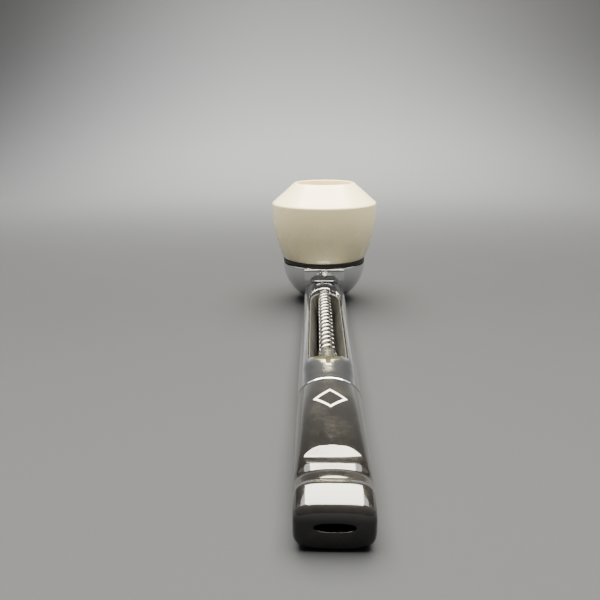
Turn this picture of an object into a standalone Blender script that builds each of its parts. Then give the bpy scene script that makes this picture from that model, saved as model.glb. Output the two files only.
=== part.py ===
"""Metal-stem tobacco pipe with a screw-on bowl, a moisture cup and a finned cooling tube.

The pipe lies on its cup foot and on the lip of its mouthpiece, both at Z = 0.
The bowl's axis is the Z axis and the stem runs from the cup towards -Y.
"""
from math import acos, cos, degrees, pi, radians, sin, sqrt

import bmesh
import bpy
from mathutils import Vector

MM = 0.001

# Driving dimensions, in millimetres.
GAP = 0.15                  # between pieces that rest on each other
ROUND_SEGMENTS = 48         # facets round the bowl and the cup
SMALL_SEGMENTS = 24         # facets round tubes and rivets

BOWL_R = 17.5               # at its widest edge
BOWL_FOOT_R = 13.95
BOWL_FOOT_Z = 15.2
BOWL_EDGE_Z = 33.2          # height of the widest edge
BOWL_TOP_Z = 40.2
BOWL_RIM_R = 9.9
CHAMBER_R = 9.2
CHAMBER_FLOOR_Z = 20.2
CHAMBER_FLOOR_R = 3.4
RECESS_R = 12.3             # socket under the bowl for its threaded base
RECESS_DEPTH = 1.4
DRAUGHT_R = 2.3

CUP_R = 14.05
CUP_DROP = 14.2             # vertical half-axis of the cup's outside
CUP_CENTRE_Z = 13.75
CUP_TOP_Z = 13.65
CUP_WALL = 1.2
CUP_BORE_R = 12.5
BOSS_R = 2.75               # seat inside the cup for the cooling tube's front nut
BOSS_END = 6.0
PAD_HALF_W = 6.5            # flat pad on the cup, straight above the stem
PAD_FACE = 14.2             # its distance from the bowl's axis

THREAD_LEAD = 9.0           # rise of the quick thread in one full turn
THREAD_STARTS = 3
THREAD_WIDTH = 0.9
NECK_R = 11.3               # root of the thread on the bowl's base
NECK_BOTTOM_Z = 9.8
MALE_CREST_R = 12.0
FEMALE_CREST_R = 11.65

STEM_Z = 4.97               # height of the stem's axis
STEM_HALF_W = 6.55
STEM_HALF_H = 4.53
STEM_START = 8.0            # distances along the stem are measured from the bowl's axis
WINDOW_START = 22.0
WINDOW_ROUND = 8.0          # length of the window's rounded end
WINDOW_END = 79.0
WINDOW_HALF_W = 4.8         # at the top of the stem
WINDOW_HALF_W_LOW = 2.2     # at the underside
WEB_END = 82.0
STEM_END = 91.7
TENON_BORE_R = 3.4

TUBE_Z = 6.3                # height of the cooling tube's axis
TUBE_R = 1.45
TUBE_BORE_R = 1.0
FIN_R = 2.1
FIN_PITCH = 3.02
FINS_START = 22.9
FIN_TURNS = 16
TUBE_START = 3.4
TUBE_END = 85.0
COLLAR_R = 2.3
COLLAR_START = 71.7
COLLAR_END = 81.4

TENON_R = 3.3
TENON_INNER_R = 2.1
TENON_START = 86.4
TENON_END = 99.0
BIT_START = 92.0
AIRWAY_R = 1.1


def material(name, colour, roughness, metallic=0.0):
    """A Principled material of one colour."""
    made = bpy.data.materials.new(name)
    made.use_nodes = True
    shader = made.node_tree.nodes["Principled BSDF"]
    shader.inputs["Base Color"].default_value = (*colour, 1.0)
    shader.inputs["Roughness"].default_value = roughness
    shader.inputs["Metallic"].default_value = metallic
    return made


def finish(name, bm, surface, angle=35.0):
    """Turn a bmesh in millimetres into a named, smooth-shaded object in metres."""
    bmesh.ops.remove_doubles(bm, verts=bm.verts, dist=1e-4)
    bmesh.ops.recalc_face_normals(bm, faces=bm.faces)
    bmesh.ops.scale(bm, vec=Vector((MM, MM, MM)), verts=bm.verts)
    mesh = bpy.data.meshes.new(name)
    bm.to_mesh(mesh)
    bm.free()
    mesh.shade_smooth()
    mesh.set_sharp_from_angle(angle=radians(angle))
    made = bpy.data.objects.new(name, mesh)
    bpy.context.collection.objects.link(made)
    if surface is not None:
        mesh.materials.append(surface)
    return made


def as_cutter(made):
    made.hide_render = True
    made.display_type = "WIRE"
    return made


def boolean(target, tool, operation="DIFFERENCE"):
    modifier = target.modifiers.new(f"{operation.lower()}_{tool.name}", "BOOLEAN")
    modifier.operation = operation
    modifier.solver = "EXACT"
    modifier.object = tool


def turned(name, profile, surface, segments=ROUND_SEGMENTS):
    """Turn a closed profile of (radius, height) points about the Z axis."""
    bm = bmesh.new()
    points = [bm.verts.new((radius, 0.0, height)) for radius, height in profile]
    on_axis = {index for index, (radius, _) in enumerate(profile) if radius == 0.0}
    edges = []
    for index in range(len(points)):
        following = (index + 1) % len(points)
        if not (index in on_axis and following in on_axis):
            edges.append(bm.edges.new((points[index], points[following])))
    bmesh.ops.spin(bm, geom=points + edges, cent=(0, 0, 0), axis=(0, 0, 1),
                   angle=2 * pi, steps=segments, use_duplicate=False)
    return finish(name, bm, surface)


def arc(centre, radii, start, end, steps):
    """Points of an ellipse arc, from start to end in degrees."""
    angles = [radians(start + (end - start) * step / steps) for step in range(steps + 1)]
    return [(centre[0] + radii[0] * cos(a), centre[1] + radii[1] * sin(a)) for a in angles]


def lofted(name, sections, surface):
    """Skin a row of closed outlines, all with the same number of points."""
    bm = bmesh.new()
    rings = [[bm.verts.new(point) for point in section] for section in sections]
    for ring, following in zip(rings, rings[1:]):
        for index in range(len(ring)):
            across = (index + 1) % len(ring)
            bm.faces.new((ring[index], ring[across], following[across], following[index]))
    bm.faces.new(rings[0])
    bm.faces.new(rings[-1])
    return finish(name, bm, surface)


def oval(distance, half_width, top, bottom, power=2.0, power_below=None, points=40):
    """A superellipse across the stem; its lower half can be rounder than its upper half."""
    middle, half_height = (top + bottom) / 2, (top - bottom) / 2
    outline = []
    for index in range(points):
        angle = 2 * pi * (index + 0.5) / points
        c, s = cos(angle), sin(angle)
        exponent = 2 / (power if s > 0 else power_below or power)
        x = half_width * abs(c) ** exponent * (1 if c > 0 else -1)
        z = half_height * abs(s) ** exponent * (1 if s > 0 else -1)
        outline.append((x, -distance, middle + z))
    return outline


def along_stem(name, profile, surface, axis_z=STEM_Z, segments=SMALL_SEGMENTS):
    """Turn a closed profile of (radius, distance) points about an axis along the stem."""
    made = turned(name, profile, surface, segments)
    for vertex in made.data.vertices:
        x, y, distance = vertex.co
        vertex.co = (x, -distance, y + axis_z * MM)
    return made


def rod(name, radius, start, end, axis_z=TUBE_Z, segments=SMALL_SEGMENTS, surface=None):
    """A plain round or many-sided bar along the stem."""
    return along_stem(name, [(0, start), (radius, start), (radius, end), (0, end)], surface, axis_z, segments)


def thread_ridge(name, root_r, crest_r, low_z, span, turn_offset):
    """One start of the quick thread: a rib that climbs by THREAD_LEAD in a full turn."""
    steps = 14
    sections = []
    for step in range(steps + 1):
        turn = span * step / steps
        angle = 2 * pi * (turn + turn_offset)
        z = low_z + THREAD_LEAD * turn
        corners = ((root_r, -THREAD_WIDTH / 2), (crest_r, -THREAD_WIDTH / 4),
                   (crest_r, THREAD_WIDTH / 4), (root_r, THREAD_WIDTH / 2))
        sections.append([(r * cos(angle), r * sin(angle), z + rise) for r, rise in corners])
    return lofted(name, sections, None)


def block(name, low, high):
    """A plain box between two corners."""
    plan = [(low[0], low[1]), (high[0], low[1]), (high[0], high[1]), (low[0], high[1])]
    return lofted(name, [[(x, y, z) for x, y in plan] for z in (low[2], high[2])], None)


def flank_radius(z):
    """The bowl's side swells quickly above its foot and is nearly upright at its edge."""
    t = (z - BOWL_FOOT_Z) / (BOWL_EDGE_Z - BOWL_FOOT_Z)
    return BOWL_FOOT_R + (BOWL_R - BOWL_FOOT_R) * (1 - (1 - t) ** 2.35)


def make_bowl(surface):
    """The bowl: a swelling side, a sloped shoulder and a round tobacco chamber."""
    steps = 9
    rise = BOWL_EDGE_Z - BOWL_FOOT_Z
    side = [(flank_radius(BOWL_FOOT_Z + rise * k / steps), BOWL_FOOT_Z + rise * k / steps)
            for k in range(1, steps + 1)]
    shoulder = [(17.25, 33.75), (16.7, 34.3), (13.4, 37.25), (10.2, 40.0)]
    rim = [(BOWL_RIM_R, BOWL_TOP_Z), (9.5, BOWL_TOP_Z - 0.05), (CHAMBER_R, 39.8)]
    chamber_turn_z = 27.0
    chamber = arc((CHAMBER_FLOOR_R, chamber_turn_z),
                  (CHAMBER_R - CHAMBER_FLOOR_R, chamber_turn_z - CHAMBER_FLOOR_Z), 0, -90, 6)
    recess_z = BOWL_FOOT_Z + RECESS_DEPTH
    under = [(DRAUGHT_R, CHAMBER_FLOOR_Z), (DRAUGHT_R, recess_z), (RECESS_R, recess_z), (RECESS_R, BOWL_FOOT_Z),
             (BOWL_FOOT_R - 0.3, BOWL_FOOT_Z), (BOWL_FOOT_R - 0.05, BOWL_FOOT_Z + 0.25)]
    return turned("bowl", side + shoulder + rim + chamber + under, surface)


def make_bowl_base(surface):
    """The threaded metal base that is let into the bowl's foot."""
    flange_bottom = BOWL_FOOT_Z + GAP
    flange_top = BOWL_FOOT_Z + RECESS_DEPTH - GAP
    base = turned("bowl_base", [
        (DRAUGHT_R, flange_bottom), (DRAUGHT_R, flange_top), (RECESS_R - 0.3, flange_top),
        (RECESS_R - 0.3, flange_bottom), (NECK_R, flange_bottom), (NECK_R, NECK_BOTTOM_Z),
        (NECK_R - 1.0, NECK_BOTTOM_Z), (NECK_R - 1.0, flange_bottom - 0.5)], surface)
    for start in range(THREAD_STARTS):
        ridge = thread_ridge(f"male_thread_{start}", NECK_R - 0.3, MALE_CREST_R, NECK_BOTTOM_Z + 0.7, 0.25,
                             start / THREAD_STARTS)
        boolean(base, as_cutter(ridge), "UNION")
    return base


def make_eyelet(surface):
    """The hollow rivet through the chamber floor that clinches the base to the bowl."""
    shank_r = DRAUGHT_R - 0.3
    bore_r = 1.3
    head_z = CHAMBER_FLOOR_Z + GAP
    foot_z = BOWL_FOOT_Z - 0.5
    return turned("draught_eyelet", [
        (bore_r, foot_z), (bore_r, head_z + 0.6), (2.4, head_z + 0.6), (3.0, head_z + 0.2), (3.0, head_z),
        (shank_r, head_z), (shank_r, foot_z + 0.5), (3.2, foot_z + 0.5), (3.2, foot_z)], surface, SMALL_SEGMENTS)


def make_bowl_seal(surface):
    low, high = CUP_TOP_Z + GAP, BOWL_FOOT_Z - GAP
    return turned("bowl_seal", [
        (NECK_R + 0.3, low), (NECK_R + 0.3, high), (BOWL_FOOT_R - 0.15, high), (BOWL_FOOT_R, high - 0.2),
        (BOWL_FOOT_R, low + 0.2), (BOWL_FOOT_R - 0.15, low)], surface)


def cup_outside(grow=0.0):
    """The cup's outer line, from its foot up to its rim."""
    steps = 11
    radius, drop = CUP_R + grow, CUP_DROP + grow
    foot_r = radius * sqrt(1 - ((CUP_CENTRE_Z + grow) / drop) ** 2)
    line = [(foot_r, -grow)]
    for z in [CUP_CENTRE_Z - CUP_CENTRE_Z * cos(pi / 2 * k / steps) for k in range(1, steps)]:
        line.append((radius * sqrt(1 - ((CUP_CENTRE_Z - z) / drop) ** 2), z))
    return line


def make_cup(surface):
    """The moisture cup, with the mating quick thread inside its rim."""
    inner_r, inner_drop = CUP_R - CUP_WALL, CUP_DROP - CUP_WALL
    bore_end_z = CUP_CENTRE_Z - inner_drop * sqrt(1 - (CUP_BORE_R / inner_r) ** 2)
    bore_meets = -degrees(acos(CUP_BORE_R / inner_r))
    inside = arc((0, CUP_CENTRE_Z), (inner_r, inner_drop), bore_meets, -84, 8)[1:]
    profile = [(0.0, 0.0)] + cup_outside() + [
        (CUP_R, CUP_CENTRE_Z - 0.45), (CUP_R - 0.2, CUP_TOP_Z), (CUP_BORE_R + 0.2, CUP_TOP_Z),
        (CUP_BORE_R, CUP_TOP_Z - 0.2), (CUP_BORE_R, bore_end_z)] + inside
    floor_z = inside[-1][1]
    cup = turned("cup", profile + [(0.0, floor_z)], surface)
    for start in range(THREAD_STARTS):
        ridge = thread_ridge(f"female_thread_{start}", CUP_BORE_R + 0.4, FEMALE_CREST_R, 11.1, 0.2,
                             (start + 0.5) / THREAD_STARTS + 0.02)
        boolean(cup, as_cutter(ridge), "UNION")
    pad = block("cup_pad", (-PAD_HALF_W, -PAD_FACE, STEM_Z + STEM_HALF_H + GAP),
                (PAD_HALF_W, -8.0, CUP_TOP_Z - 0.1))
    middle_r = (CUP_R + CUP_BORE_R) / 2
    middle = turned("cup_pad_back", [(0.0, 8.0), (middle_r - 0.6, 8.0), (middle_r, 12.0), (middle_r, 15.0),
                                     (0.0, 15.0)], None)
    boolean(pad, as_cutter(middle))
    boolean(cup, as_cutter(pad), "UNION")
    boss = rod("cup_boss", BOSS_R, BOSS_END, 16.0)
    whole = turned("cup_whole", [(0.0, 0.3)] + cup_outside(-0.3) + [(0.0, CUP_CENTRE_Z)], None)
    boolean(boss, as_cutter(whole), "INTERSECT")
    boolean(cup, as_cutter(boss), "UNION")
    boolean(cup, as_cutter(rod("cup_hole", TUBE_R + 0.3, 5.0, 16.0)))
    return cup


def make_moisture_ring(surface):
    """An absorbent paper washer that lies in the bottom of the cup and catches condensate."""
    low, high = 1.9, 2.9
    return turned("moisture_ring", [(1.6, low), (4.9, low), (6.0, high), (1.6, high)], surface, 32)


def make_stem(surface):
    """The flattened metal stem: coped to the cup, open in a long window, bored for the tenon."""
    top, bottom = STEM_Z + STEM_HALF_H, STEM_Z - STEM_HALF_H
    stations = [(STEM_START, 2.4), (WINDOW_START, 2.4), (WINDOW_END, 2.5), (82.0, 2.4), (85.0, 2.2),
                (88.0, 2.05), (STEM_END - 0.4, 1.95)]
    sections = [oval(distance, STEM_HALF_W, top, bottom, power) for distance, power in stations]
    sections.append(oval(STEM_END, STEM_HALF_W - 0.35, top - 0.35, bottom + 0.35, 1.95))
    stem = lofted("stem", sections, surface)

    cope = turned("cup_clearance", [(0.0, -GAP)] + cup_outside(GAP) + [(CUP_R + GAP, 16.0), (0.0, 16.0)], None)
    boolean(stem, as_cutter(cope))

    boolean(stem, as_cutter(make_window_cutter()))

    boolean(stem, as_cutter(rod("tube_hole", TUBE_R + 0.3, 3.0, 30.0)))
    boolean(stem, as_cutter(rod("collar_hole", COLLAR_R + 0.25, 76.0, WEB_END + 1.0)))
    boolean(stem, as_cutter(rod("tenon_bore", TENON_BORE_R, WEB_END, 95.0, axis_z=STEM_Z)))
    return stem


def make_window_cutter():
    """A slot with one rounded and one square end, narrower at the underside of the stem."""
    rounded = 8
    corner = 0.8
    plan = []
    for k in range(rounded + 1):
        angle = pi * k / rounded
        plan.append((cos(angle), WINDOW_START + WINDOW_ROUND * (1 - sin(angle))))
    plan += [(-1.0, WINDOW_END - corner), (-0.85, WINDOW_END), (0.85, WINDOW_END), (1.0, WINDOW_END - corner)]
    lean = (WINDOW_HALF_W - WINDOW_HALF_W_LOW) / (2 * STEM_HALF_H)
    sections = []
    for z in (-1.0, 11.0):
        half_width = WINDOW_HALF_W_LOW + lean * (z - STEM_Z + STEM_HALF_H)
        sections.append([(half_width * across, -distance, z) for across, distance in plan])
    return lofted("window_cutter", sections, None)


def fin_rise(phase):
    """A rounded fin over two fifths of each pitch, and bare tube between the fins."""
    width = 0.42
    return sin(pi * phase / width) ** 0.7 if phase < width else 0.0


def make_cooling_tube(surface):
    """The smoke tube between the cup and the mouthpiece, with one long helical fin."""
    around = 18
    per_pitch = 8
    length = FIN_TURNS * FIN_PITCH
    stations = [TUBE_START + 0.2, FINS_START - 0.3]
    stations += [FINS_START + FIN_PITCH * k / per_pitch for k in range(FIN_TURNS * per_pitch + 1)]
    stations += [FINS_START + length + 0.3, TUBE_END - 0.2]
    rings = []
    for distance in stations:
        ring = []
        reach = min(distance - FINS_START, FINS_START + length - distance) / FIN_PITCH
        fade = min(1.0, max(0.0, 2.0 * reach))
        for index in range(around):
            turn = index / around
            phase = ((distance - FINS_START) / FIN_PITCH - turn) % 1.0
            radius = TUBE_R + (FIN_R - TUBE_R) * fin_rise(phase) * fade
            ring.append((radius * cos(2 * pi * turn), -distance, TUBE_Z + radius * sin(2 * pi * turn)))
        rings.append(ring)

    def plain_ring(radius, distance):
        return [(radius * cos(2 * pi * k / around), -distance, TUBE_Z + radius * sin(2 * pi * k / around))
                for k in range(around)]

    rings = [plain_ring(TUBE_R - 0.15, TUBE_START)] + rings + [plain_ring(TUBE_R - 0.15, TUBE_END)]
    rings += [plain_ring(TUBE_BORE_R, TUBE_END), plain_ring(TUBE_BORE_R, TUBE_START)]

    bm = bmesh.new()
    rings = [[bm.verts.new(point) for point in ring] for ring in rings]
    for ring, following in zip(rings, rings[1:] + rings[:1]):
        for index in range(around):
            across = (index + 1) % around
            bm.faces.new((ring[index], ring[across], following[across], following[index]))
    return finish("cooling_tube", bm, surface)


def make_rear_collar(surface):
    """The plain ferrule round the tube where it enters the sleeve end of the stem."""
    hole_r = TUBE_R + 0.15
    return along_stem("rear_collar", [
        (hole_r, COLLAR_START), (COLLAR_R - 0.3, COLLAR_START), (COLLAR_R, COLLAR_START + 0.3),
        (COLLAR_R, COLLAR_END), (hole_r, COLLAR_END)], surface, TUBE_Z)


def make_front_nut(surface):
    """The hexagon nut inside the cup that draws the tube, the cup and the stem together."""
    nut = rod("front_nut", 3.0, BOSS_END - 2.0, BOSS_END - GAP, segments=6, surface=surface)
    boolean(nut, as_cutter(rod("nut_hole", TUBE_R + 0.15, BOSS_END - 3.0, BOSS_END + 1.0)))
    return nut


def make_tenon(surface):
    """The metal spigot fixed in the mouthpiece, with a groove for its sealing ring."""
    groove_r = 2.5
    groove_start = TENON_START + 1.6
    groove_end = groove_start + 1.1
    return along_stem("tenon", [
        (TENON_INNER_R, TENON_START), (TENON_R - 0.3, TENON_START), (TENON_R, TENON_START + 0.4),
        (TENON_R, groove_start), (groove_r, groove_start), (groove_r, groove_end), (TENON_R, groove_end),
        (TENON_R, TENON_END), (TENON_INNER_R, TENON_END)], surface)


def make_tenon_seal(surface):
    wire_r = 0.36
    centre = (2.98, TENON_START + 2.15)
    return along_stem("tenon_seal", arc(centre, (wire_r, wire_r), 0, 315, 7), surface)


def make_mouthpiece(surface):
    """The moulded mouthpiece: flat topped, with a stepped bite zone and a rounded lip."""
    stations = [
        # distance, half width, top, bottom, power above, power below
        (BIT_START, 6.15, 9.2, 0.75, 1.95, 1.95),
        (92.3, 6.4, 9.5, 0.5, 1.95, 1.95),
        (96.0, 6.4, 9.5, 0.5, 2.1, 2.0),
        (104.0, 6.4, 9.45, 0.5, 2.4, 2.1),
        (112.0, 6.35, 9.3, 0.6, 2.5, 2.1),
        (117.7, 6.3, 9.12, 0.75, 2.5, 2.1),
        (119.3, 6.25, 8.05, 1.4, 4.0, 2.1),
        (121.2, 6.25, 8.05, 1.6, 4.0, 2.1),
        (122.1, 6.25, 8.5, 1.25, 2.6, 2.1),
        (122.75, 6.25, 8.05, 1.4, 2.6, 2.1),
        (123.3, 6.25, 8.05, 1.5, 2.7, 2.1),
        (124.3, 6.2, 8.32, 1.0, 2.8, 2.1),
        (125.3, 6.2, 8.05, 0.5, 3.0, 2.2),
        (126.0, 6.2, 8.1, 0.2, 3.2, 2.3),
        (126.8, 6.2, 8.45, 0.1, 3.3, 2.3),
        (127.6, 6.2, 8.43, 0.0, 3.4, 2.3),
        (131.0, 6.05, 7.85, 0.0, 3.3, 2.3),
        (131.6, 5.7, 7.4, 0.35, 3.0, 2.2),
        (131.9, 5.2, 6.8, 0.9, 2.8, 2.2),
    ]
    mouthpiece = lofted("mouthpiece", [oval(*station) for station in stations], surface)
    boolean(mouthpiece, as_cutter(rod("socket", TENON_R + 0.2, 90.0, TENON_END + 0.3, axis_z=STEM_Z)))

    slot_z = 4.1
    airway = [(98.0, AIRWAY_R, STEM_Z, AIRWAY_R), (116.0, AIRWAY_R, STEM_Z, AIRWAY_R),
              (126.0, 2.2, slot_z, 0.8), (133.0, 3.2, slot_z, 0.7)]
    flare = lofted("airway", [oval(distance, half_width, z + half_height, z - half_height, points=20)
                              for distance, half_width, z, half_height in airway], None)
    boolean(mouthpiece, as_cutter(flare))
    return mouthpiece


def main():
    for old in list(bpy.data.objects):
        bpy.data.objects.remove(old, do_unlink=True)

    cream = material("cream_lacquer", (0.84, 0.80, 0.66), 0.22)
    black_rubber = material("black_rubber", (0.015, 0.015, 0.015), 0.6)
    chrome = material("satin_chrome", (0.72, 0.72, 0.70), 0.18, 1.0)
    aluminium = material("aluminium", (0.80, 0.80, 0.78), 0.35, 1.0)
    paper = material("absorbent_paper", (0.78, 0.74, 0.64), 0.9)
    black_plastic = material("black_plastic", (0.012, 0.012, 0.011), 0.2)

    make_bowl(cream)
    make_bowl_base(aluminium)
    make_eyelet(aluminium)
    make_bowl_seal(black_rubber)
    make_cup(chrome)
    make_moisture_ring(paper)
    make_stem(chrome)
    make_cooling_tube(aluminium)
    make_front_nut(aluminium)
    make_rear_collar(aluminium)
    make_tenon(aluminium)
    make_tenon_seal(black_rubber)
    make_mouthpiece(black_plastic)


main()
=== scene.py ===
from math import cos, pi, radians, sin

import bpy
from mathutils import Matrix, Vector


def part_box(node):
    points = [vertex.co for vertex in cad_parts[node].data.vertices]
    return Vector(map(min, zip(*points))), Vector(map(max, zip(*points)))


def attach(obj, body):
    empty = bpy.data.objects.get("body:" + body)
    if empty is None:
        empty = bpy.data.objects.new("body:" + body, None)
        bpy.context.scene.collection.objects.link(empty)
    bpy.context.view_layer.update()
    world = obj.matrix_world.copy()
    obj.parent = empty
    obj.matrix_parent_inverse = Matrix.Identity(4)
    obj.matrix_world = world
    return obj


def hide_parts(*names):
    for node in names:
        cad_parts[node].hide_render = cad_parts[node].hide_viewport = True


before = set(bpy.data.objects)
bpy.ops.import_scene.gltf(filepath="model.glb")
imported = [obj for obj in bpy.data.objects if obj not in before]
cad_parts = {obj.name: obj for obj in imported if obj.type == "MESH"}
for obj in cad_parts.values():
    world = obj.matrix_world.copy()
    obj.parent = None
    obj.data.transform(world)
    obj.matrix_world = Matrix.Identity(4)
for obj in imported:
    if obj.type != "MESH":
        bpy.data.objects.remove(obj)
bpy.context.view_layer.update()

MM = 0.001


# ---------------------------------------------------------------- camera
# The pipe is seen from above its mouth end, looking along the stem to the bowl,
# with a lens as long as its sensor is wide.
camera_data = bpy.data.cameras.new("camera")
camera_data.sensor_width = 36.0
camera_data.lens = 36.0
camera_data.clip_start = 0.005
camera = bpy.data.objects.new("camera", camera_data)
camera.location = (-2.67 * MM, -204.12 * MM, 58.72 * MM)
camera.rotation_euler = (radians(90 - 16.26), radians(0.41), radians(1.49))
bpy.context.scene.collection.objects.link(camera)
bpy.context.scene.camera = camera


# ---------------------------------------------------------------- paper sweep
# A sheet of grey studio paper that lies flat under the pipe and curves up behind
# it. A painted pool of light makes the curve paler in the middle, and the floor near
# the camera is painted paler too. It has a faint tooth and a slight unevenness of tone.
class Signal:
    """A value inside a finish's node tree, ready to be used in sums."""

    def __init__(self, finish, socket):
        self.finish = finish
        self.socket = socket

    def maths(self, operation, *values):
        return self.finish.node("ShaderNodeMath", {"operation": operation}, dict(enumerate(values)))

    def __add__(self, other):
        return self.maths("ADD", self, other)

    __radd__ = __add__

    def __sub__(self, other):
        return self.maths("SUBTRACT", self, other)

    def __rsub__(self, other):
        return self.maths("SUBTRACT", other, self)

    def __mul__(self, other):
        return self.maths("MULTIPLY", self, other)

    __rmul__ = __mul__

    def __truediv__(self, other):
        return self.maths("DIVIDE", self, other)

    def __pow__(self, power):
        return self.maths("POWER", self, power)

    def __abs__(self):
        return self.maths("ABSOLUTE", self)

    def between(self, low, high):
        """0 below low, 1 above high, and a smooth step from one to the other."""
        settings = {"interpolation_type": "SMOOTHSTEP", "clamp": True}
        return self.finish.node("ShaderNodeMapRange", settings, {
            "Value": self, "From Min": low, "From Max": high})


class Finish:
    """A surface finish made of shader nodes."""

    def __init__(self, name):
        self.material = bpy.data.materials.new(name)
        self.material.use_nodes = True
        self.tree = self.material.node_tree
        self.shader = self.tree.nodes["Principled BSDF"]
        place = self.tree.nodes.new("ShaderNodeTexCoord")
        self.place = Signal(self, place.outputs["Object"])
        axes = self.tree.nodes.new("ShaderNodeSeparateXYZ")
        self.tree.links.new(place.outputs["Object"], axes.inputs[0])
        self.x, self.y, self.z = (Signal(self, axes.outputs[axis]) for axis in range(3))

    def plug(self, socket, value):
        if isinstance(value, Signal):
            self.tree.links.new(value.socket, socket)
        elif hasattr(socket.default_value, "__len__") and len(socket.default_value) == 4 and len(value) == 3:
            socket.default_value = (*value, 1.0)
        else:
            socket.default_value = value

    def node(self, kind, settings, values, output=0):
        made = self.tree.nodes.new(kind)
        for name, setting in settings.items():
            setattr(made, name, setting)
        for name, value in values.items():
            self.plug(made.inputs[name], value)
        return Signal(self, made.outputs[output])

    def noise(self, size, detail=3.0, roughness=0.55, stretch=(1, 1, 1), distortion=0.0):
        """Soft random patches about size metres across, longer along an axis with a small stretch."""
        place = self.node("ShaderNodeMapping", {}, {"Vector": self.place, "Scale": stretch})
        return self.node("ShaderNodeTexNoise", {}, {
            "Vector": place, "Scale": 1.0 / size, "Detail": detail, "Roughness": roughness,
            "Distortion": distortion})

    def blend(self, share, first, second):
        """A colour between first, at 0, and second, at 1."""
        mix = self.tree.nodes.new("ShaderNodeMix")
        mix.data_type = "RGBA"
        self.plug(mix.inputs["Factor"], share)
        self.plug(mix.inputs[6], first)
        self.plug(mix.inputs[7], second)
        return Signal(self, mix.outputs[2])

    def relief(self, height, depth, below=None):
        """Raise the surface by height times depth metres, on top of an earlier relief."""
        values = {"Height": height, "Distance": depth, "Strength": 1.0}
        if below is not None:
            values["Normal"] = below
        return self.node("ShaderNodeBump", {}, values)

    def set(self, **values):
        """Set the shader's own sockets, such as Base_Color or Coat_Weight."""
        for name, value in values.items():
            self.plug(self.shader.inputs[name.replace("_", " ")], value)
        return self.material


def sweep_paper():
    paper = Finish("sweep_paper")
    tone = paper.noise(0.12, detail=2.0)
    tooth = paper.noise(0.0006, detail=4.0)
    grey = paper.blend(tone, (0.029, 0.0315, 0.037), (0.033, 0.0355, 0.042))
    # Painted light: the floor is painted paler towards the camera.
    grey = paper.blend(paper.y.between(-0.22, 0.02), (0.051, 0.055, 0.064), grey)
    # Painted light: a pool of light painted on the curved wall, brightest in the middle and fading to the
    # left, the right and the top.
    middle = paper.x.between(-0.5, -0.05) * (1.0 - paper.x.between(0.0, 0.6))
    painted_wall_light = paper.y.between(0.05, 0.5) * middle * (1.0 - 0.55 * paper.y.between(0.46, 0.72))
    return paper.set(Base_Color=paper.blend(painted_wall_light, grey, (0.105, 0.111, 0.124)),
                     Roughness=0.75 + 0.1 * tooth, Specular_IOR_Level=0.12,
                     Normal=paper.relief(tooth, 0.00002))


def picked(piece, wanted):
    """Start editing a piece with only the points chosen that lie in the wanted places."""
    bpy.ops.object.mode_set(mode="EDIT")
    bpy.ops.mesh.select_mode(type="VERT")
    bpy.ops.mesh.select_all(action="DESELECT")
    bpy.ops.object.mode_set(mode="OBJECT")
    for vertex in piece.data.vertices:
        vertex.select = wanted(vertex.co)
    bpy.ops.object.mode_set(mode="EDIT")


SWEEP_SIZE = 2.4
SWEEP_START = 0.32          # where the flat part ends, behind the bowl
SWEEP_BEND = 0.4            # radius of the bend
SWEEP_STEPS = 16
WALL_HEIGHT = 1.2

bpy.ops.object.select_all(action="DESELECT")
bpy.ops.mesh.primitive_plane_add(size=SWEEP_SIZE)
sweep = bpy.context.object
sweep.name = "paper_sweep"
picked(sweep, lambda place: place.y > 0)
bpy.ops.transform.translate(value=(0, SWEEP_START - SWEEP_SIZE / 2, 0))
for step in range(SWEEP_STEPS):
    lean = pi / 2 * (step + 0.5) / SWEEP_STEPS
    length = SWEEP_BEND * pi / 2 / SWEEP_STEPS
    bpy.ops.mesh.extrude_region_move(
        TRANSFORM_OT_translate={"value": (0, length * cos(lean), length * sin(lean))})
bpy.ops.mesh.extrude_region_move(TRANSFORM_OT_translate={"value": (0, 0, WALL_HEIGHT)})
bpy.ops.object.mode_set(mode="OBJECT")
bpy.ops.object.shade_smooth()
sweep.data.materials.append(sweep_paper())


# ---------------------------------------------------------------- studio light
# A strong overhead softbox with a wider, weaker one above it, a spot that washes
# the curved wall behind, and a grey room that is darker behind the camera.
def softbox(name, place, turn, width, depth, watts, tint=(1.0, 1.0, 1.0)):
    light = bpy.data.lights.new(name, "AREA")
    light.shape = "RECTANGLE"
    light.size = width
    light.size_y = depth
    light.energy = watts
    light.color = tint
    lamp = bpy.data.objects.new(name, light)
    lamp.location = place
    lamp.rotation_euler = turn
    bpy.context.scene.collection.objects.link(lamp)


softbox("key_panel", (0.0, 0.11, 0.55), (0, 0, 0), 0.6, 0.7, 34.0, (1.0, 0.92, 0.74))
softbox("wide_panel", (0.0, 0.14, 0.62), (0, 0, 0), 1.3, 0.5, 8.0, (1.0, 0.99, 0.97))

wash = bpy.data.lights.new("wall_wash", "SPOT")
wash.energy = 110.0
wash.spot_size = radians(46)
wash.spot_blend = 1.0
wash.shadow_soft_size = 0.05
wash_lamp = bpy.data.objects.new("wall_wash", wash)
wash_lamp.location = (-0.1, 0.1, 1.1)
wash_lamp.rotation_euler = (radians(19), 0, radians(-6))
bpy.context.scene.collection.objects.link(wash_lamp)

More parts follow.
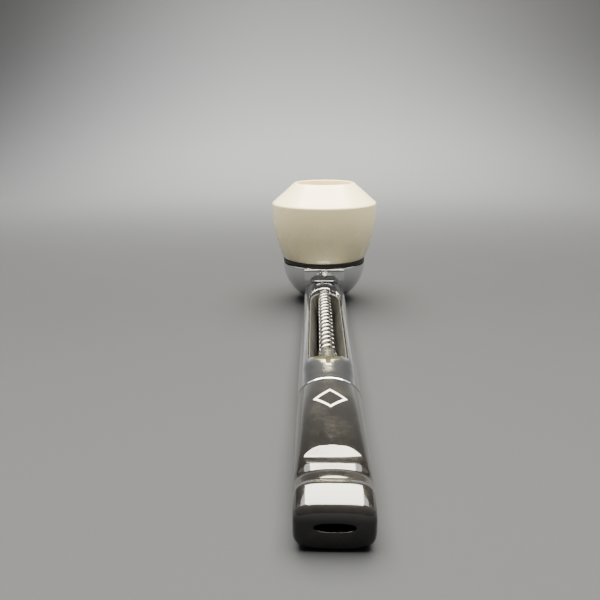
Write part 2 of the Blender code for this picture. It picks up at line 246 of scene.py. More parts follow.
room = bpy.data.worlds.new("room")
bpy.context.scene.world = room
room.use_nodes = True
room_nodes = room.node_tree.nodes
room_links = room.node_tree.links
way = room_nodes.new("ShaderNodeTexCoord")
split = room_nodes.new("ShaderNodeSeparateXYZ")
room_links.new(way.outputs["Generated"], split.inputs[0])
ramp = room_nodes.new("ShaderNodeValToRGB")
ramp.color_ramp.elements[0].position = 0.15
ramp.color_ramp.elements[0].color = (0.17, 0.17, 0.175, 1)
ramp.color_ramp.elements[1].position = 0.9
ramp.color_ramp.elements[1].color = (0.6, 0.6, 0.61, 1)
ahead = room_nodes.new("ShaderNodeMapRange")
ahead.inputs["From Min"].default_value = -1.0
room_links.new(split.outputs["Y"], ahead.inputs["Value"])
room_links.new(ahead.outputs["Result"], ramp.inputs["Fac"])
room_links.new(ramp.outputs["Color"], room_nodes["Background"].inputs["Color"])
room_nodes["Background"].inputs["Strength"].default_value = 0.8


# ---------------------------------------------------------------- bowl
# The bowl is turned from one block: a foot, a swelling side, a sharp sloped
# shoulder and a round chamber. It is lacquered cream inside and out.
bowl_low, bowl_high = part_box("bowl")
BOWL_R = bowl_high.x
FOOT_R = 13.95 * MM
RIM_R = 9.9 * MM
CHAMBER_R = 9.2 * MM
EDGE_Z = bowl_high.z - 7.0 * MM
CHAMBER_FLOOR_Z = bowl_low.z + 5.0 * MM


def turned(name, line, around=128, closed=True):
    """Turn a piece: a ring of points is drawn out and sized along a line of (radius, height)."""
    bpy.ops.object.select_all(action="DESELECT")
    radius, height = line[0]
    bpy.ops.mesh.primitive_circle_add(vertices=around, radius=radius, location=(0, 0, height),
                                      fill_type="NOTHING")
    piece = bpy.context.object
    piece.name = name
    bpy.ops.object.transform_apply(location=True, rotation=True, scale=True)
    bpy.ops.object.mode_set(mode="EDIT")
    bpy.ops.mesh.select_all(action="SELECT")
    for (last_r, last_z), (next_r, next_z) in zip(line, line[1:] + line[:1] if closed else line[1:]):
        bpy.ops.mesh.extrude_region_move(TRANSFORM_OT_translate={"value": (0, 0, next_z - last_z)})
        ratio = next_r / last_r
        bpy.ops.transform.resize(value=(ratio, ratio, 1), center_override=(0, 0, next_z))
    return tidy(piece)


def tidy(piece, angle=36):
    """Close seams, point faces outwards, and shade curved faces smooth."""
    bpy.ops.object.mode_set(mode="EDIT")
    bpy.ops.mesh.select_all(action="SELECT")
    bpy.ops.mesh.remove_doubles(threshold=0.000002)
    bpy.ops.mesh.normals_make_consistent(inside=False)
    bpy.ops.object.mode_set(mode="OBJECT")
    bpy.ops.object.shade_smooth_by_angle(angle=radians(angle))
    return piece


def arc(centre, radii, start, end, steps):
    """Points of a round corner, from start to end in degrees."""
    turns = [radians(start + (end - start) * step / steps) for step in range(steps + 1)]
    return [(centre[0] + radii[0] * cos(turn), centre[1] + radii[1] * sin(turn)) for turn in turns]


def bowl_line():
    side = []
    for step in range(1, 25):
        t = step / 24
        swell = 1 - (1 - t) ** 2.35
        side.append((FOOT_R + (BOWL_R - FOOT_R) * swell, bowl_low.z + (EDGE_Z - bowl_low.z) * t))
    bend = 0.9 * MM
    edge = arc((BOWL_R - bend, EDGE_Z), (bend, bend), 0, 48, 8)[1:]
    shoulder_end = (RIM_R + 0.35 * MM, bowl_high.z - 0.22 * MM)
    shoulder = [(edge[-1][0] + (shoulder_end[0] - edge[-1][0]) * k / 6,
                 edge[-1][1] + (shoulder_end[1] - edge[-1][1]) * k / 6) for k in range(1, 7)]
    rim_round = 0.3 * MM
    rim = arc((RIM_R - 0.05 * MM, bowl_high.z - rim_round), (rim_round, rim_round), 45, 90, 4)
    rim += arc((CHAMBER_R + rim_round, bowl_high.z - rim_round), (rim_round, rim_round), 90, 180, 5)
    wall = [(CHAMBER_R, bowl_high.z - depth * MM) for depth in (2, 5, 8, 11)]
    floor_r = 3.4 * MM
    curve = arc((floor_r, CHAMBER_FLOOR_Z + 6.8 * MM), (CHAMBER_R - floor_r, 6.8 * MM), 0, -90, 16)
    recess_z = bowl_low.z + 1.4 * MM
    under = [(2.3 * MM, CHAMBER_FLOOR_Z), (2.3 * MM, recess_z), (12.3 * MM, recess_z),
             (12.3 * MM, bowl_low.z)]
    foot = arc((FOOT_R - 0.25 * MM, bowl_low.z + 0.25 * MM), (0.25 * MM, 0.25 * MM), -90, 0, 4)
    return side + edge + shoulder + rim + wall + curve + under + foot


def cream_lacquer():
    cream = Finish("cream_lacquer")
    cloud = cream.noise(0.022, detail=3.0)
    fleck = cream.noise(0.0009, detail=4.0, roughness=0.7)
    peel = cream.noise(0.0016, detail=1.0)
    body = cream.blend(cloud, (0.85, 0.765, 0.48), (0.90, 0.82, 0.55))
    body = cream.blend(fleck.between(0.55, 0.8) * 0.25, body, (0.70, 0.60, 0.40))
    foot_shade = 1.0 - cream.z.between(bowl_low.z, bowl_low.z + 1.6 * MM)
    body = cream.blend(foot_shade * 0.35, body, (0.52, 0.46, 0.33))
    smudge = cream.noise(0.006, detail=5.0, roughness=0.7)
    peel_relief = cream.relief(peel, 0.000006)
    return cream.set(Base_Color=body, Roughness=0.2 + 0.14 * smudge.between(0.35, 0.75),
                     Coat_Weight=0.35, Coat_Roughness=0.06,
                     Normal=cream.relief(fleck, 0.000002, below=peel_relief))


bowl = turned("lacquered_bowl", bowl_line(), around=160)
bowl.data.materials.append(cream_lacquer())
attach(bowl, "bowl")
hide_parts("bowl")


# ---------------------------------------------------------------- bowl base
# A turned aluminium disc let into the bowl's foot. Its neck carries three starts
# of a coarse quick thread, so a short turn frees the bowl.
base_low, base_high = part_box("bowl_base")
NECK_R = 11.3 * MM
THREAD_LEAD = 9.0 * MM
THREAD_STARTS = 3


def thread_rib(root_r, crest_r, low_z, turns, turn_offset):
    """One start of the thread: a small square bar, narrowed at its crest and screwed upwards."""
    bpy.ops.object.select_all(action="DESELECT")
    width = 0.9 * MM
    bpy.ops.mesh.primitive_plane_add(size=1, rotation=(pi / 2, 0, 0))
    rib = bpy.context.object
    bpy.ops.object.transform_apply(rotation=True)
    bpy.ops.object.mode_set(mode="EDIT")
    bpy.ops.mesh.select_all(action="SELECT")
    bpy.ops.transform.resize(value=(abs(crest_r - root_r), 1, width))
    bpy.ops.transform.translate(value=((root_r + crest_r) / 2, 0, low_z))
    bpy.ops.mesh.delete(type="ONLY_FACE")
    bpy.ops.object.mode_set(mode="OBJECT")
    picked(rib, lambda place: abs(place.x - crest_r) < 0.01 * MM)
    bpy.ops.transform.resize(value=(1, 1, 0.5), center_override=(0, 0, low_z))
    bpy.ops.object.mode_set(mode="OBJECT")
    screw = rib.modifiers.new("thread", "SCREW")
    screw.angle = 2 * pi * turns
    screw.screw_offset = THREAD_LEAD * turns
    screw.steps = screw.render_steps = 40
    screw.use_merge_vertices = False
    bpy.ops.object.modifier_apply(modifier="thread")
    rib.rotation_euler.z = 2 * pi * turn_offset
    bpy.ops.object.transform_apply(rotation=True)
    bpy.ops.object.mode_set(mode="EDIT")
    bpy.ops.mesh.select_all(action="SELECT")
    bpy.ops.mesh.fill_holes(sides=4)
    bpy.ops.object.mode_set(mode="OBJECT")
    return tidy(rib)


def joined(piece, extras):
    """Fix extra shapes to a piece, as one object."""
    bpy.ops.object.select_all(action="DESELECT")
    for extra in extras:
        extra.select_set(True)
    piece.select_set(True)
    bpy.context.view_layer.objects.active = piece
    bpy.ops.object.join()
    return piece


def turned_aluminium():
    """Bright aluminium with the fine rings that a lathe tool leaves, and a few dull patches."""
    metal = Finish("turned_aluminium")
    tool_rings = metal.noise(0.0004, detail=2.0, stretch=(0.15, 1.0, 0.15))
    dull = metal.noise(0.004, detail=4.0, roughness=0.65).between(0.4, 0.75)
    return metal.set(Base_Color=metal.blend(dull, (0.36, 0.36, 0.345), (0.25, 0.25, 0.238)), Metallic=1.0,
                     Roughness=0.2 + 0.16 * dull, Normal=metal.relief(tool_rings, 0.000012))


aluminium = turned_aluminium()


def fitted(piece, node, body, material):
    """Give a finished piece its surface and put it in place of its plain node."""
    piece.data.materials.clear()
    piece.data.materials.append(material)
    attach(piece, body)
    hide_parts(node)


base = turned("threaded_bowl_base", [
    (2.3 * MM, base_high.z - 1.1 * MM), (2.3 * MM, base_high.z), (base_high.x - 0.2 * MM, base_high.z),
    (base_high.x, base_high.z - 0.2 * MM), (base_high.x, base_high.z - 1.1 * MM),
    (NECK_R, base_high.z - 1.1 * MM),
    (NECK_R, base_low.z + 0.3 * MM), (NECK_R - 0.3 * MM, base_low.z), (NECK_R - 1.0 * MM, base_low.z),
    (NECK_R - 1.0 * MM, base_high.z - 1.5 * MM), (2.6 * MM, base_high.z - 1.5 * MM)])
ribs = [thread_rib(NECK_R - 0.2 * MM, 12.0 * MM, 10.5 * MM, 0.25, start / THREAD_STARTS)
        for start in range(THREAD_STARTS)]
fitted(joined(base, ribs), "bowl_base", "bowl", aluminium)


# ---------------------------------------------------------------- draught eyelet
# A hollow rivet through the chamber floor. Its rolled head shows at the bottom of
# the chamber, and its foot clinches the threaded base to the bowl.
eyelet_low, eyelet_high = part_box("draught_eyelet")
EYELET_BORE_R = 1.3 * MM
HEAD_R = 3.0 * MM
head_roll = arc((HEAD_R - 0.3 * MM, eyelet_high.z - 0.3 * MM), (0.3 * MM, 0.3 * MM), 90, -90, 8)
lip_roll = arc((EYELET_BORE_R + 0.35 * MM, eyelet_high.z - 0.35 * MM), (0.35 * MM, 0.35 * MM), 180, 90, 5)
eyelet = turned("draught_rivet", [(EYELET_BORE_R, eyelet_low.z)] + lip_roll + head_roll + [
    (2.0 * MM, eyelet_high.z - 0.6 * MM), (2.0 * MM, eyelet_low.z + 0.5 * MM),
    (eyelet_high.x - 0.15 * MM, eyelet_low.z + 0.5 * MM), (eyelet_high.x, eyelet_low.z + 0.25 * MM),
    (eyelet_high.x - 0.15 * MM, eyelet_low.z)], around=48)
fitted(eyelet, "draught_eyelet", "bowl", aluminium)


# ---------------------------------------------------------------- bowl seal
# A black rubber washer squeezed between the bowl and the cup, with soft edges and
# a shallow groove round its outside. It comes up with the bowl.
seal_low, seal_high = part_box("bowl_seal")


def black_rubber():
    rubber = Finish("black_rubber")
    grain = rubber.noise(0.0003, detail=3.0)
    bloom = rubber.noise(0.003, detail=4.0).between(0.5, 0.85)
    return rubber.set(Base_Color=rubber.blend(bloom * 0.5, (0.010, 0.010, 0.010), (0.035, 0.034, 0.033)),
                      Roughness=0.42 + 0.2 * bloom, Normal=rubber.relief(grain, 0.000006))


rubber = black_rubber()
soft = 0.3 * MM
seal_r = seal_high.x
seal_mid = (seal_low.z + seal_high.z) / 2
seal_line = arc((seal_r - soft, seal_low.z + soft), (soft, soft), -90, 0, 5)
seal_line += [(seal_r - 0.06 * MM, seal_mid - 0.08 * MM), (seal_r - 0.06 * MM, seal_mid + 0.08 * MM)]
seal_line += arc((seal_r - soft, seal_high.z - soft), (soft, soft), 0, 90, 5)
seal_line += [(NECK_R + 0.3 * MM, seal_high.z), (NECK_R + 0.3 * MM, seal_low.z)]
fitted(turned("seal_washer", seal_line, around=160), "bowl_seal", "seal", rubber)


# ---------------------------------------------------------------- cup
# The moisture cup is a cast and chromed half shell with a small flat foot. Its rim
# is bored and threaded for the bowl, and a boss inside it takes the tube's nut.
cup_low, cup_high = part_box("cup")
CUP_R = cup_high.x
CUP_DROP = 14.2 * MM
CUP_CENTRE_Z = 13.75 * MM
CUP_BORE_R = 12.5 * MM
TUBE_Z = 6.3 * MM


def cup_outside(grow=0.0, steps=36):
    """The outer line of the cup from its foot to its widest point."""
    line = []
    for step in range(steps + 1):
        z = CUP_CENTRE_Z * (1 - cos(pi / 2 * step / steps))
        line.append(((CUP_R + grow) * (1 - ((CUP_CENTRE_Z - z) / (CUP_DROP + grow)) ** 2) ** 0.5, z))
    return line


def capped(piece):
    bpy.ops.object.mode_set(mode="EDIT")
    bpy.ops.mesh.select_all(action="SELECT")
    bpy.ops.mesh.fill_holes(sides=0)
    return tidy(piece)


def lying(piece, height):
    """Lay a piece turned about the upright axis along the stem, at a height."""
    bpy.ops.object.select_all(action="DESELECT")
    piece.select_set(True)
    bpy.context.view_layer.objects.active = piece
    piece.rotation_euler.x = pi / 2
    piece.location.z = height
    bpy.ops.object.transform_apply(location=True, rotation=True)
    return piece


def bar(radius, start, end, height, around=48):
    """A plain bar along the stem, used to drill and to build up."""
    return lying(capped(turned("bar", [(radius, start), (radius, end)], around, closed=False)), height)


def worked(piece, tool, operation="DIFFERENCE"):
    """Cut a piece with a tool, or add the tool to it, and throw the tool away."""
    bpy.ops.object.select_all(action="DESELECT")
    piece.select_set(True)
    bpy.context.view_layer.objects.active = piece
    change = piece.modifiers.new("work", "BOOLEAN")
    change.operation = operation
    change.object = tool
    bpy.ops.object.modifier_apply(modifier="work")
    bpy.data.objects.remove(tool, do_unlink=True)
    return piece


def pad_above_stem():
    """The flat pad on the cup, as wide as the stem, between the stem and the rim."""
    bpy.ops.object.select_all(action="DESELECT")
    half_width, face, back = 6.5 * MM, 14.2 * MM, 11.0 * MM
    foot_z, head_z = 9.65 * MM, cup_high.z - 0.1 * MM
    bpy.ops.mesh.primitive_cube_add(size=1, location=(0, -(face + back) / 2, (foot_z + head_z) / 2),
                                    scale=(2 * half_width, face - back, head_z - foot_z))
    pad = bpy.context.object
    bpy.ops.object.transform_apply(location=True, rotation=True, scale=True)
    bpy.ops.object.mode_set(mode="EDIT")
    bpy.ops.mesh.select_all(action="SELECT")
    bpy.ops.mesh.bevel(offset=0.25 * MM, segments=3, affect="EDGES")
    bpy.ops.object.mode_set(mode="OBJECT")
    behind = capped(turned("behind_pad", [(12.4 * MM, 8 * MM), (13.1 * MM, 12 * MM), (13.1 * MM, 15 * MM)],
                           around=96, closed=False))
    return worked(tidy(pad), behind)


WINDOW_START = 22.0 * MM    # the stem's window, along the stem from the bowl's axis
WINDOW_END = 79.0 * MM
WINDOW_HALF_W = 4.8 * MM


def cast_chrome():
    """Chrome over a casting, with a soft ripple, faint wiping marks and dull spots, and painted shade inside
    the window.
    """
    chrome = Finish("cast_chrome")
    ripple = chrome.noise(0.006, detail=2.0)
    wiping = chrome.noise(0.0003, detail=3.0, stretch=(1.0, 0.06, 1.0))
    haze = chrome.noise(0.009, detail=5.0, roughness=0.65).between(0.42, 0.78)
    spots = chrome.noise(0.0007, detail=2.0).between(0.72, 0.8)
    surface = chrome.relief(wiping, 0.0000015, below=chrome.relief(ripple, 0.00005))
    plating = chrome.blend(haze, (0.66, 0.665, 0.67), (0.57, 0.575, 0.58))
    # Painted shade: below the window's top edge, the walls inside it are painted near black, dull and not
    # metallic.
    before_end = chrome.y.between(-WINDOW_END - 0.6 * MM, -WINDOW_END - 0.3 * MM)
    after_start = 1.0 - chrome.y.between(-WINDOW_START + 0.4 * MM, -WINDOW_START + 0.8 * MM)
    inside = 1.0 - abs(chrome.x).between(WINDOW_HALF_W - 0.3 * MM, WINDOW_HALF_W - 0.08 * MM)
    recess = before_end * after_start * inside * (1.0 - chrome.z.between(7.4 * MM, 8.1 * MM))
    painted_recess_shade = recess * (0.95 + 0.05 * haze)
    return chrome.set(Base_Color=chrome.blend(painted_recess_shade, plating, (0.016, 0.016, 0.014)), Metallic=1.0 - painted_recess_shade,
                      Specular_IOR_Level=0.08,
                      Roughness=0.07 + 0.1 * haze + 0.15 * spots + 0.5 * painted_recess_shade, Normal=surface)


chrome = cast_chrome()
inner_r = CUP_R - 1.2 * MM
inner_drop = CUP_DROP - 1.2 * MM
bore_end_z = CUP_CENTRE_Z - inner_drop * (1 - (CUP_BORE_R / inner_r) ** 2) ** 0.5
rim_z = cup_high.z
cup_line = [point for point in cup_outside()[1:] if point[1] < rim_z - 0.5 * MM] + [(CUP_R, rim_z - 0.4 * MM)]
cup_line += arc((CUP_R - 0.25 * MM, rim_z - 0.25 * MM), (0.25 * MM, 0.25 * MM), 15, 90, 4)
cup_line += [(CUP_BORE_R + 0.2 * MM, rim_z), (CUP_BORE_R, rim_z - 0.2 * MM), (CUP_BORE_R, bore_end_z)]
cup_line += arc((0, CUP_CENTRE_Z), (inner_r, inner_drop), -16, -84, 20)
foot_r = cup_outside()[0][0]
cup_line = [(foot_r * share, 0.0) for share in (0.2, 1.0)] + cup_line + [(0.5 * MM, cup_line[-1][1])]
cup = capped(turned("moisture_cup", cup_line, around=160, closed=False))
boss = bar(2.75 * MM, 6.0 * MM, 9.6 * MM, TUBE_Z)
worked(cup, boss, "UNION")
worked(cup, pad_above_stem(), "UNION")
worked(cup, bar(1.75 * MM, 5.0 * MM, 16.0 * MM, TUBE_Z))
cup_ribs = [thread_rib(CUP_BORE_R + 0.3 * MM, 11.65 * MM, 11.1 * MM, 0.2, (start + 0.56) / THREAD_STARTS)
            for start in range(THREAD_STARTS)]
fitted(tidy(joined(cup, cup_ribs)), "cup", "frame", chrome)


# ---------------------------------------------------------------- moisture ring
# A washer of thick absorbent paper with a bevelled edge that lies in the cup.
ring_low, ring_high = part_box("moisture_ring")


def absorbent_paper():
    paper = Finish("absorbent_paper")
    pulp = paper.noise(0.0005, detail=5.0, roughness=0.7)
    stain = paper.noise(0.004, detail=3.0).between(0.45, 0.7)
    return paper.set(Base_Color=paper.blend(stain, (0.80, 0.76, 0.66), (0.62, 0.50, 0.34)), Roughness=0.95,
                     Normal=paper.relief(pulp, 0.00008))


ring = turned("paper_ring", [
    (1.6 * MM, ring_low.z), (1.6 * MM, ring_high.z), (ring_high.x - 0.15 * MM, ring_high.z),
    (ring_high.x, ring_high.z - 0.15 * MM), (4.9 * MM, ring_low.z)], around=64)
fitted(ring, "moisture_ring", "frame", absorbent_paper())


# ---------------------------------------------------------------- stem
# The stem is a flattened oval bar, cast with a long window through it. Its front
# is coped to the cup, and its plain sleeve end is bored for the mouthpiece.
stem_low, stem_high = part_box("stem")
STEM_Z = (stem_low.z + stem_high.z) / 2
STEM_END = -stem_low.y
WINDOW_ROUND = 8.0 * MM
WINDOW_LEAN = 2.6 / 9.06    # how much the window narrows towards the underside


def oval_bar(name, outlines):
    """A bar bridged between oval outlines, each a square plate with its corners rounded over.

    An outline is its distance along the stem, half width, top, bottom and fullness,
    where 2 is an ellipse and more is squarer.
    """
    bpy.ops.object.select_all(action="DESELECT")
    bpy.ops.mesh.primitive_plane_add(size=2, rotation=(pi / 2, 0, 0))
    piece = bpy.context.object
    piece.name = name
    bpy.ops.object.transform_apply(rotation=True)
    bpy.ops.object.mode_set(mode="EDIT")
    bpy.ops.mesh.select_mode(type="VERT")
    for number, (distance, half_width, top, bottom, fullness) in enumerate(outlines):
        if number > 0:
            bpy.ops.mesh.select_all(action="DESELECT")
            bpy.ops.mesh.primitive_plane_add(size=2, rotation=(pi / 2, 0, 0))
        bpy.ops.mesh.bevel(offset=1.0, segments=18, profile=2 ** (-2 / fullness), affect="VERTICES")
        bpy.ops.mesh.remove_doubles(threshold=0.0005)
        bpy.ops.transform.resize(value=(half_width, 1, (top - bottom) / 2), center_override=(0, 0, 0))
        bpy.ops.transform.translate(value=(0, -distance, (top + bottom) / 2))
    bpy.ops.mesh.select_all(action="SELECT")
    bpy.ops.mesh.delete(type="ONLY_FACE")
    bpy.ops.mesh.select_all(action="SELECT")
    bpy.ops.mesh.bridge_edge_loops()
    bpy.ops.object.mode_set(mode="OBJECT")
    return capped(piece)


def softened(piece, width, segments=3, angle=40):
    """Break the sharp edges of a piece, as casting and polishing do."""
    bpy.ops.object.select_all(action="DESELECT")
    piece.select_set(True)
    bpy.context.view_layer.objects.active = piece
    bpy.ops.object.mode_set(mode="EDIT")
    bpy.ops.mesh.select_all(action="SELECT")
    bpy.ops.mesh.dissolve_limited(angle_limit=radians(0.5))
    bpy.ops.mesh.select_all(action="SELECT")
    bpy.ops.mesh.remove_doubles(threshold=0.04 * MM)
    bpy.ops.object.mode_set(mode="OBJECT")
    edge = piece.modifiers.new("edges", "BEVEL")
    edge.width = width
    edge.segments = segments
    edge.limit_method = "ANGLE"
    edge.angle_limit = radians(angle)
    edge.use_clamp_overlap = False
    bpy.ops.object.modifier_apply(modifier="edges")
    return piece


def window_tool():
    """A long slot plan: a circle stretched, with its near half pulled out to the square end."""
    bpy.ops.object.select_all(action="DESELECT")
    middle = WINDOW_START + WINDOW_ROUND
    bpy.ops.mesh.primitive_circle_add(vertices=64, radius=WINDOW_HALF_W, location=(0, -middle, -1 * MM),
                                      fill_type="NGON")
    tool = bpy.context.object
    tool.scale.y = WINDOW_ROUND / WINDOW_HALF_W
    bpy.ops.object.transform_apply(location=True, rotation=True, scale=True)
    picked(tool, lambda place: place.y < -middle - 0.01 * MM)
    bpy.ops.transform.resize(value=(1, 0, 1), center_override=(0, -WINDOW_END, 0))
    bpy.ops.mesh.select_all(action="SELECT")
    low_share = 1 - WINDOW_LEAN * (stem_high.z + 1 * MM) / WINDOW_HALF_W
    bpy.ops.transform.resize(value=(low_share, 1, 1), center_override=(0, 0, 0))
    bpy.ops.mesh.extrude_region_move(TRANSFORM_OT_translate={"value": (0, 0, stem_high.z + 2 * MM)})
    bpy.ops.transform.resize(value=((1 + WINDOW_LEAN * 1 * MM / WINDOW_HALF_W) / low_share, 1, 1),
                             center_override=(0, 0, 0))
    bpy.ops.object.mode_set(mode="OBJECT")
    return tidy(tool)


stem_outlines = [(distance * MM if distance else STEM_END, stem_high.x, stem_high.z, stem_low.z, fullness)
                 for distance, fullness in ((8, 2.4), (24, 2.4), (79, 2.5), (82, 2.4), (85, 2.2), (88, 2.05),
                                            (0, 1.95))]
stem = oval_bar("chromed_stem", stem_outlines)
COPE_GAP = 0.12 * MM
cope_line = cup_outside(COPE_GAP) + [(CUP_R + COPE_GAP, 17 * MM)]
cope = capped(turned("cope", cope_line, around=160, closed=False))
worked(stem, cope)
worked(stem, window_tool())
worked(stem, bar(1.75 * MM, 3 * MM, 30 * MM, TUBE_Z))
worked(stem, bar(2.55 * MM, 76 * MM, 83 * MM, TUBE_Z))
worked(stem, bar(3.4 * MM, 82 * MM, 95 * MM, STEM_Z))
softened(stem, 0.35 * MM)
fitted(tidy(stem), "stem", "frame", chrome)


# ---------------------------------------------------------------- cooling tube
# A thin aluminium smoke tube with one long helical fin. Air through the stem's
# window cools it on its way from the cup to the mouthpiece.
tube_low, tube_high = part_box("cooling_tube")
TUBE_R = 1.45 * MM
TUBE_BORE_R = 1.0 * MM
FIN_R = (tube_high.x - tube_low.x) / 2
FIN_PITCH = 3.02 * MM
FIN_TURNS = 16
FINS_START = 22.9 * MM


def helical_fin():
    """A flattened wire section screwed along the tube and closed at both ends."""
    bpy.ops.object.select_all(action="DESELECT")
    half_height = (FIN_R - TUBE_R) / 2 + 0.1 * MM
    bpy.ops.mesh.primitive_circle_add(vertices=14, radius=half_height, rotation=(pi / 2, 0, 0),
                                      location=(FIN_R - half_height, 0, FINS_START))
    fin = bpy.context.object
    fin.scale = (1, 1.5, 1)
    bpy.ops.object.transform_apply(location=True, rotation=True, scale=True)
    screw = fin.modifiers.new("helix", "SCREW")
    screw.angle = 2 * pi * FIN_TURNS
    screw.screw_offset = FIN_PITCH * FIN_TURNS
    screw.steps = screw.render_steps = 36 * FIN_TURNS
    bpy.ops.object.modifier_apply(modifier="helix")
    return capped(fin)


tube_start = -tube_high.y
tube_end = -tube_low.y
tube = turned("finned_cooling_tube", [
    (TUBE_BORE_R, tube_start), (TUBE_R - 0.15 * MM, tube_start), (TUBE_R, tube_start + 0.2 * MM),
    (TUBE_R, tube_end - 0.2 * MM), (TUBE_R - 0.15 * MM, tube_end), (TUBE_BORE_R, tube_end)], around=40)
lying(joined(tube, [helical_fin()]), TUBE_Z)
fitted(tube, "cooling_tube", "frame", aluminium)


# ---------------------------------------------------------------- front nut and rear collar
# A hexagon nut in the cup draws the tube tight. At the other end a plain ferrule
# round the tube fills the hole into the sleeve.
nut_low, nut_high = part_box("front_nut")
collar_low, collar_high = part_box("rear_collar")

bpy.ops.object.select_all(action="DESELECT")
nut_thickness = nut_high.y - nut_low.y
bpy.ops.mesh.primitive_cylinder_add(vertices=6, radius=nut_high.x, depth=nut_thickness,
                                    location=(0, 0, -(nut_low.y + nut_high.y) / 2),
                                    rotation=(0, 0, radians(30)))
nut = bpy.context.object
nut.name = "tube_nut"
bpy.ops.object.transform_apply(location=True, rotation=True)
bpy.ops.object.mode_set(mode="EDIT")
bpy.ops.mesh.select_all(action="SELECT")
bpy.ops.mesh.bevel(offset=0.25 * MM, segments=3, affect="EDGES")
bpy.ops.object.mode_set(mode="OBJECT")
worked(lying(nut, TUBE_Z), bar(1.6 * MM, 3 * MM, 8 * MM, TUBE_Z))
fitted(tidy(nut), "front_nut", "frame", aluminium)

COLLAR_R = (collar_high.x - collar_low.x) / 2
collar_start = -collar_high.y
collar_end = -collar_low.y
collar_round = 0.35 * MM
collar = turned("tube_ferrule", [(1.6 * MM, collar_start)] + arc(
    (COLLAR_R - collar_round, collar_start + collar_round), (collar_round, collar_round), -90, 0, 5) + [
    (COLLAR_R, collar_start + 1.6 * MM), (COLLAR_R - 0.12 * MM, collar_start + 1.7 * MM),
    (COLLAR_R - 0.12 * MM, collar_start + 2.0 * MM), (COLLAR_R, collar_start + 2.1 * MM),
    (COLLAR_R, collar_end), (1.6 * MM, collar_end)], around=64)
fitted(lying(collar, TUBE_Z), "rear_collar", "frame", aluminium)


# ---------------------------------------------------------------- mouthpiece
# Moulded in black plastic: an oval bar that flattens towards the mouth, with bite
# steps milled straight across above and below and a rounded lip. The airway
# opens into a flat slot at its end.


def bite_tool(line, far_z):
    """A cutter as wide as the bit, whose lower edge follows a line of (distance, height)."""
    bpy.ops.object.select_all(action="DESELECT")
    bpy.ops.mesh.primitive_plane_add(size=20 * MM, rotation=(0, pi / 2, 0))
    tool = bpy.context.object
    bpy.ops.object.transform_apply(rotation=True)
    bpy.ops.object.mode_set(mode="EDIT")
    bpy.ops.mesh.select_mode(type="VERT")
    bpy.ops.mesh.select_all(action="SELECT")
    bpy.ops.mesh.merge(type="CENTER")
    bpy.ops.transform.translate(value=(-10 * MM, -line[0][0], far_z))
    last = (line[0][0], far_z)
    for point in line + [(line[-1][0], far_z)]:
        bpy.ops.mesh.extrude_region_move(TRANSFORM_OT_translate={
            "value": (0, last[0] - point[0], point[1] - last[1])})
        last = point
    bpy.ops.mesh.select_all(action="SELECT")
    bpy.ops.mesh.edge_face_add()
    bpy.ops.mesh.extrude_region_move(TRANSFORM_OT_translate={"value": (20 * MM, 0, 0)})
    bpy.ops.object.mode_set(mode="OBJECT")
    return tidy(tool)


def smooth_line(points, steps=5):
    """Round a line of points with a curve through the middles of its stretches."""
    line = [points[0]]
    for before, here, after in zip(points, points[1:], points[2:]):
        start = tuple((a + b) / 2 for a, b in zip(before, here))
        end = tuple((a + b) / 2 for a, b in zip(here, after))
        for step in range(steps + 1):
            t = step / steps
            line.append(tuple((1 - t) ** 2 * a + 2 * t * (1 - t) * b + t * t * c
                              for a, b, c in zip(start, here, end)))
    return line + [points[-1]]


def in_mm(points):
    return [tuple(value * MM for value in point) for point in points]


def black_plastic():
    """Polished black moulding: a slow waviness, fine scratches along it and dull finger marks."""
    plastic = Finish("black_plastic")
    wave = plastic.noise(0.009, detail=1.0)
    scratches = plastic.noise(0.00025, detail=2.0, stretch=(1.0, 0.04, 1.0)).between(0.6, 0.8)
    marks = plastic.noise(0.005, detail=5.0, roughness=0.7).between(0.4, 0.8)
    surface = plastic.relief(scratches, 0.0000015, below=plastic.relief(wave, 0.00004))
    polish = plastic.z.between(4.8 * MM, 7.0 * MM)
    across = abs(plastic.x) / (2.9 * MM) + abs(plastic.y + 100.8 * MM) / (3.4 * MM)
    lozenge = (1.0 - abs(across - 1.0).between(0.1, 0.16)) * plastic.z.between(7 * MM, 8 * MM)
    black = plastic.blend(marks, (0.009, 0.009, 0.009), (0.022, 0.020, 0.018))
    return plastic.set(Base_Color=plastic.blend(lozenge, black, (0.85, 0.84, 0.80)),
                       Roughness=0.13 + 0.12 * marks + 0.1 * scratches, IOR=1.45, Coat_IOR=1.75,
                       Coat_Weight=polish * (1.0 - lozenge), Coat_Roughness=0.05, Normal=surface)


bit_outlines = [(distance * MM, half_width * MM, top * MM, bottom * MM, fullness)
                for distance, half_width, top, bottom, fullness in (
                    (92.0, 6.4, 9.5, 0.5, 1.95), (96.0, 6.4, 9.5, 0.5, 2.1),
                    (100.0, 6.4, 9.48, 0.5, 2.25), (104.0, 6.4, 9.42, 0.5, 2.35),
                    (112.0, 6.35, 9.28, 0.6, 2.45), (117.7, 6.3, 9.12, 0.7, 2.5),
                    (121.3, 6.25, 8.75, 0.7, 2.5), (122.1, 6.25, 8.5, 0.6, 2.45),
                    (122.75, 6.25, 8.04, 0.6, 2.5), (123.3, 6.25, 8.04, 0.5, 2.55),
                    (124.3, 6.2, 8.32, 0.4, 2.6), (125.3, 6.2, 8.04, 0.3, 2.8),
                    (125.8, 6.2, 8.04, 0.2, 3.2), (126.8, 6.2, 8.45, 0.1, 3.8),
                    (127.5, 6.2, 8.4, 0.05, 4.0), (131.0, 6.05, 7.62, 0.0, 3.9),
                    (131.5, 5.85, 7.2, 0.3, 3.5), (131.8, 5.5, 6.6, 0.8, 3.0),
                    (131.9, 4.7, 6.0, 1.5, 2.8))]
mouthpiece = oval_bar("moulded_mouthpiece", bit_outlines)
above = in_mm([(116.4, 9.7), (117.7, 9.12), (119.2, 8.08), (119.6, 8.02), (121.1, 8.02), (121.4, 8.12),
               (121.9, 8.48), (122.0, 9.7)])
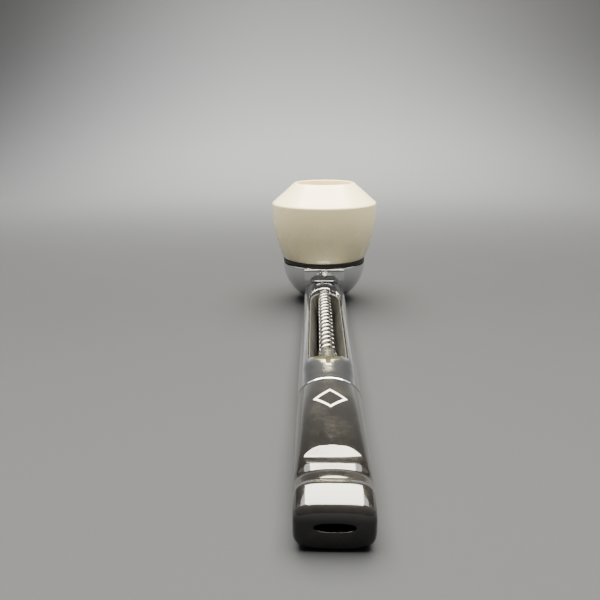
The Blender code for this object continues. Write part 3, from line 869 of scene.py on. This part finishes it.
below = smooth_line(in_mm([(116.6, 0.2), (117.6, 0.5), (119.6, 1.7), (121.2, 1.75), (122.1, 1.1),
                           (122.9, 1.3), (123.5, 1.7), (124.6, 1.2), (125.8, 0.4), (127.0, -0.4)]))
worked(mouthpiece, bite_tool(above, 15 * MM))
worked(mouthpiece, bite_tool(below, -5 * MM))
worked(mouthpiece, bar(3.5 * MM, 90 * MM, 99.3 * MM, STEM_Z))
SLOT_Z = 4.1 * MM
airway = oval_bar("airway", [
    (98 * MM, 1.1 * MM, STEM_Z + 1.1 * MM, STEM_Z - 1.1 * MM, 2.0),
    (116 * MM, 1.1 * MM, STEM_Z + 1.1 * MM, STEM_Z - 1.1 * MM, 2.0),
    (126 * MM, 2.2 * MM, SLOT_Z + 0.8 * MM, SLOT_Z - 0.8 * MM, 2.0),
    (133 * MM, 3.2 * MM, SLOT_Z + 0.7 * MM, SLOT_Z - 0.7 * MM, 2.4)])
worked(mouthpiece, airway)
softened(mouthpiece, 0.15 * MM, angle=32)
fitted(tidy(mouthpiece), "mouthpiece", "mouthpiece", black_plastic())


# ---------------------------------------------------------------- tenon and its seal
# The turned spigot fixed in the mouthpiece, and the rubber ring in its groove that
# makes the push fit in the sleeve tight.
tenon_low, tenon_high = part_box("tenon")
TENON_R = tenon_high.x
tenon_start = -tenon_high.y
tenon_end = -tenon_low.y
GROOVE_R = 2.5 * MM
groove_start = tenon_start + 1.6 * MM
groove_end = groove_start + 1.1 * MM
TENON_BORE_R = 2.1 * MM
tenon = turned("turned_tenon", [
    (TENON_BORE_R, tenon_start), (TENON_R - 0.35 * MM, tenon_start),
    (TENON_R - 0.08 * MM, tenon_start + 0.3 * MM), (TENON_R, tenon_start + 0.6 * MM),
    (TENON_R, groove_start), (GROOVE_R, groove_start), (GROOVE_R, groove_end),
    (TENON_R, groove_end), (TENON_R, tenon_end), (TENON_BORE_R, tenon_end)], around=80)
fitted(lying(tenon, STEM_Z), "tenon", "mouthpiece", aluminium)

wire_r = 0.36 * MM
ring_centre = (2.98 * MM, (groove_start + groove_end) / 2)
tenon_ring = turned("tenon_ring", arc(ring_centre, (wire_r, wire_r), 0, 345, 23), around=80)
fitted(lying(tenon_ring, STEM_Z), "tenon_seal", "mouthpiece", rubber)
